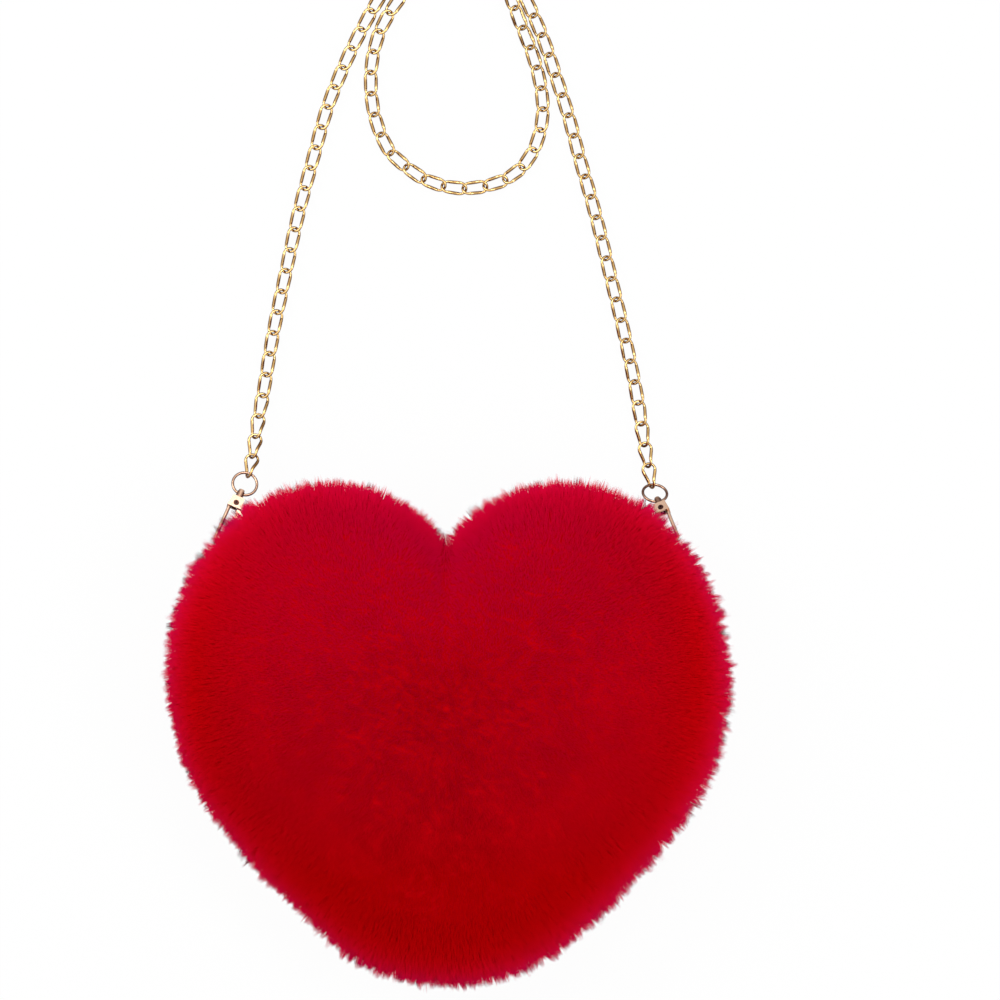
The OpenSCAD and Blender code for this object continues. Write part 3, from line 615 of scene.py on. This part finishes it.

# %% [markdown]
# ## Metal
# Chain, clasps and zip are plated metal. Plating is a mirror with a coloured tint; what makes it
# look real is uneven polish and a stained tint, so both vary with a fine noise. Down the sides of a
# wire or plate the tint turns dark, a painted shade that follows the surface's slope and stands in for dark
# surroundings seen in the metal.

# %% Plate in the tints of gold, rose, brown and steel
def plated(name, slot, bright, dull, side_shade, rough, shade_from=0.12, shade_full=0.6):
    metal = Finish(name, slot)
    grain = metal.noise(900, 3)
    stain = metal.noise(160, 2)
    upward = metal.node("SeparateXYZ", out=2, Vector=metal.node("TexCoord", out=1))
    # Painted shade: where the surface turns away from straight up, the tint goes over to the side colour.
    side_shade_share = metal.node("MapRange", Value=1 - upward * upward, i1=shade_from, i2=shade_full)
    face = metal.mix(stain, bright, dull)
    metal.set(Metallic=1.0, Base_Color=metal.mix(side_shade_share, face, side_shade), Roughness=grain * 0.10 + rough)
    metal.bump(grain, 0.15, 0.0001)
    return metal


# For each metal the third colour is the painted shade down its sides.
chain_gold = plated("chain_gold", "chain_gold",
                    (1.0, 0.74, 0.34), (0.88, 0.50, 0.16), (0.14, 0.05, 0.01), 0.14)
# Plates and swivel rings are one rose metal: the plates keep the painted side shade to their steepest
# slopes, and the rings are painted a little darker, with a wider painted side shade on the thin wire.
rose_gold = plated("rose_gold", "rose_metal",
                   (0.76, 0.51, 0.37), (0.60, 0.38, 0.27), (0.12, 0.05, 0.035), 0.2,
                   shade_from=0.5, shade_full=0.95)
rose_ring_shaded = plated("rose_ring_shaded", "rose_metal",
                   (0.70, 0.45, 0.31), (0.52, 0.31, 0.21), (0.10, 0.04, 0.03), 0.2)
rivet_brown = plated("rivet_brown", "rose_metal",
                     (0.10, 0.04, 0.03), (0.07, 0.03, 0.02), (0.05, 0.02, 0.02), 0.3)
loop_gold = plated("loop_gold", "gold_wire",
                   (0.88, 0.64, 0.28), (0.70, 0.45, 0.16), (0.20, 0.10, 0.03), 0.2)
zip_gold = plated("zip_gold", "zip_metal",
                  (1.0, 0.70, 0.36), (0.88, 0.52, 0.22), (0.40, 0.20, 0.07), 0.22)
spring_steel = plated("spring_steel", "spring_steel",
                      (0.62, 0.62, 0.63), (0.42, 0.42, 0.43), (0.16, 0.16, 0.17), 0.25)

rose_gold.dress(*[nodes[f"{part}_{end}"] for part in ("hook_body", "gate", "swivel_post")
                  for end in ("left", "right")])
rose_ring_shaded.dress(nodes["swivel_ring_left"], nodes["swivel_ring_right"])
rivet_brown.dress(nodes["rivet_left"], nodes["rivet_right"])
loop_gold.dress(nodes["strap_loop_left"], nodes["strap_loop_right"])
zip_gold.dress(*[nodes[n] for n in ("zip_teeth_front", "zip_teeth_back", "zip_top_stops",
                                    "zip_bottom_stop", "zip_slider", "zip_pull")])
spring_steel.dress(nodes["gate_spring_left"], nodes["gate_spring_right"])

# %% [markdown]
# ## The chain
# Each link is one wire, bent to an oval and twisted so that its two ends lean opposite ways;
# that lets a chain of flat links run straight. The CAD holds every link as a solid, so each one
# is found there, its middle and its three directions measured, and a smooth link swept in place.

# %% Finding the links of a CAD node
def islands(node):
    """The separate solids of a CAD node: for each its triangles' corner points, in mm."""
    mesh = nodes[node].data
    mesh.calc_loop_triangles()
    co = np.empty(len(mesh.vertices) * 3, np.float32)
    mesh.vertices.foreach_get("co", co)
    co = co.reshape(-1, 3) / MM
    tri = np.empty(len(mesh.loop_triangles) * 3, np.int32)
    mesh.loop_triangles.foreach_get("vertices", tri)
    _, same = np.unique(np.round(co, 3), axis=0, return_inverse=True)
    tri_same = same.ravel()[tri].reshape(-1, 3)
    label = np.arange(tri_same.max() + 1)
    while True:
        low = label[tri_same].min(1)
        before = label.copy()
        for c in range(3):
            np.minimum.at(label, tri_same[:, c], low)
        label = label[label]
        if (label == before).all():
            break
    owner = label[tri_same[:, 0]]
    tri = tri.reshape(-1, 3)
    return [co[tri[owner == o]] for o in np.unique(owner)]


def pose_of(corners):
    """Middle and axes of a solid, longest first, from its surface."""
    middle = corners.mean(1)
    area = np.linalg.norm(np.cross(corners[:, 1] - corners[:, 0], corners[:, 2] - corners[:, 0]), axis=1)
    centre = (middle * area[:, None]).sum(0) / area.sum()
    d = corners - centre
    spread = sum(np.einsum("n,ni,nj->ij", area, d[:, c], d[:, c]) for c in range(3))
    spread += np.einsum("n,ni,nj->ij", area * 9, middle - centre, middle - centre)
    _, axes = np.linalg.eigh(spread)
    x, y = axes[:, 2], axes[:, 1]
    return centre, np.stack([x, y, np.cross(x, y)])


# %% A twisted link as a closed tube
LINK_R, LINK_SIDE, TWIST = 3.1, 3.1, np.radians(30)
WIRE_END_R, WIRE_EXTRA_R = 0.64, 0.22


def link_line(steps=14):
    turn = np.linspace(-np.pi / 2, np.pi / 2, steps)
    right = np.c_[LINK_SIDE + LINK_R * np.cos(turn), LINK_R * np.sin(turn) * np.cos(TWIST),
                  LINK_R * np.sin(turn) * np.sin(TWIST)]
    t = np.linspace(0, 1, steps)[1:-1]
    ease = t * t * (3 - 2 * t) * 0.55 + t * 0.45
    rise = LINK_R * np.sin(TWIST)
    top = np.c_[LINK_SIDE - 2 * LINK_SIDE * t, np.full(len(t), LINK_R * np.cos(TWIST)),
                rise - 2 * rise * ease]
    return np.vstack([right, top, right * [-1, -1, 1], top * [-1, -1, 1]])


TUBE_SIDES = 12


def tube_loop(line, radius, sides=TUBE_SIDES):
    """Rings of points round a closed line, each as wide as the radius given for it."""
    ahead = np.roll(line, -1, 0) - np.roll(line, 1, 0)
    ahead /= np.linalg.norm(ahead, axis=1, keepdims=True)
    out = line * [0.6, 1, 0]
    out -= ahead * np.sum(out * ahead, 1, keepdims=True)
    out /= np.linalg.norm(out, axis=1, keepdims=True)
    up = np.cross(ahead, out)
    turn = np.linspace(0, 2 * np.pi, sides, endpoint=False)
    ring = np.cos(turn)[None, :, None] * out[:, None] + np.sin(turn)[None, :, None] * up[:, None]
    return line[:, None] + ring * np.asarray(radius).reshape(-1, 1, 1)


def tube_faces(n, sides, start):
    return [(start + i * sides + k, start + ((i + 1) % n) * sides + k,
             start + ((i + 1) % n) * sides + (k + 1) % sides, start + i * sides + (k + 1) % sides)
            for i in range(n) for k in range(sides)]


middle_line = link_line()
from_end = -np.abs(middle_line[:, 0])
radii = WIRE_END_R + WIRE_EXTRA_R * smooth_step(from_end, -LINK_SIDE - 1.2, -LINK_SIDE + 1.4)
link_shape = tube_loop(middle_line, radii)
chain_bodies = {"chain_lower_left": "strap", "chain_lower_right": "strap",
                "chain_middle_left": "strap_middle", "chain_middle_right": "strap_middle",
                "chain_upper": "strap_upper"}
link_count = 0
for node, body in chain_bodies.items():
    points, faces = [], []
    for corners in islands(node):
        centre, axes = pose_of(corners)
        faces += tube_faces(len(middle_line), TUBE_SIDES, len(points) * TUBE_SIDES * len(middle_line))
        points.append(link_shape.reshape(-1, 3) @ axes + centre)
    link_count += len(points)
    piece = mesh_piece(node + "_links", np.vstack(points), faces)
    chain_gold.dress(piece)
    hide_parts(node)
    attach(piece, body)
print("links:", link_count)

# %% [markdown]
# ## Cloth inside and round the zip
# The lining is a smooth satin, the padding a thin foam, and the zip runs between two woven
# tapes. They hardly show with the purse closed, yet each is there when it opens.

# %% Woven cloth
def woven(name, slot, dark, light, threads, rough=0.8):
    cloth = Finish(name, slot)
    where = cloth.node("TexCoord", out=3)
    weft, warp = (cloth.node("TexWave", {"wave_type": "BANDS", "bands_direction": axis},
                             Vector=where, Scale=threads, Distortion=0.6) for axis in ("X", "Z"))
    weave = weft * warp
    cloth.set(Base_Color=cloth.mix(weave, dark, light), Roughness=rough, Sheen_Weight=0.2, Sheen_Tint=light)
    cloth.bump(weave, 0.5, 0.0002)
    return cloth


lining_cloth = woven("satin_lining", "lining", (0.20, 0.004, 0.012), (0.34, 0.012, 0.03), 700, 0.35)
foam = woven("foam_padding", "foam", (0.70, 0.60, 0.48), (0.84, 0.75, 0.63), 160, 0.95)
tape_cloth = woven("zip_tape", "zip_tape", (0.20, 0.002, 0.008), (0.34, 0.004, 0.014), 420)
tab_cloth = woven("tab_cloth", "tab_fabric", (0.24, 0.002, 0.008), (0.42, 0.003, 0.012), 380)

# %% Padding and lining as their own shells
FOAM_OUT, FOAM_IN, LINING_OUT, LINING_IN = 14.2, 16.2, 16.5, 17.1
for name, outer, inner, cloth in (("padding", FOAM_OUT, FOAM_IN, foam),
                                  ("lining", LINING_OUT, LINING_IN, lining_cloth)):
    for face, rise in (("front", FRONT_RISE), ("back", -BACK_SWELL)):
        layer = cut(shell(f"{face}_{name}_cloth", outer, inner, rise, rings=22, step=4.0), slit_tool())
        cloth.dress(layer)
        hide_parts(f"{face}_{name}")
        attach(layer, "purse")
        0.7 if name == "padding" else 0.3

# %% The zip's two tapes
TAPE_IN, TAPE_T, TAPE_EDGE = 13.6, 0.6, 1.2
for face, low, high in (("front", TAPE_EDGE, SLIT_H - 0.1), ("back", 0.1 - SLIT_H, -TAPE_EDGE)):
    near, far = zip_line(TAPE_IN - TAPE_T / 2, TAPE_END, 1.5), zip_line(TAPE_IN + TAPE_T / 2, TAPE_END, 1.5)
    tape = prism(f"zip_tape_{face}_cloth", np.vstack([near, far[::-1]]), SEAM_Z + low, SEAM_Z + high)
    tape_cloth.dress(tape)
    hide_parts(f"zip_tape_{face}")
    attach(tape, "purse")

# %% [markdown]
# ## Strap tabs
# A strip of the purse's own cloth is folded round each strap loop's bar and sewn into the seam.

# %% A folded strip round the bar
TAB_W, TAB_T, LOOP_R, ROOT = 6.0, 1.6, 1.8, 8.5
for sign, name in ((-1, "left"), (1, "right")):
    turn = np.linspace(-np.pi * 0.86, np.pi * 0.86, 24)
    ring = heading(turn) * LOOP_R
    under = np.c_[np.linspace(-1.6, -ROOT, 8), np.full(8, -TAB_T / 2)]
    over = np.c_[np.linspace(-ROOT, -1.6, 8), np.full(8, TAB_T / 2)]
    strip = np.vstack([ring, over[::-1], under[::-1]])
    n = len(strip)
    widths = np.linspace(-TAB_W / 2, TAB_W / 2, 9)
    points = np.vstack([np.c_[np.full(n, sign * TAB_X + w), BAR_Y + strip[:, 0], SEAM_Z + strip[:, 1]]
                        for w in widths])
    faces = [(r * n + i, r * n + (i + 1) % n, (r + 1) * n + (i + 1) % n, (r + 1) * n + i)
             for r in range(len(widths) - 1) for i in range(n)]
    faces += [tuple(range(n))[::-1], tuple((len(widths) - 1) * n + i for i in range(n))]
    tab = mesh_piece(f"strap_tab_{name}_cloth", points, faces)
    tab_cloth.dress(tab)
    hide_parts(f"strap_tab_{name}")
    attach(tab, "purse")
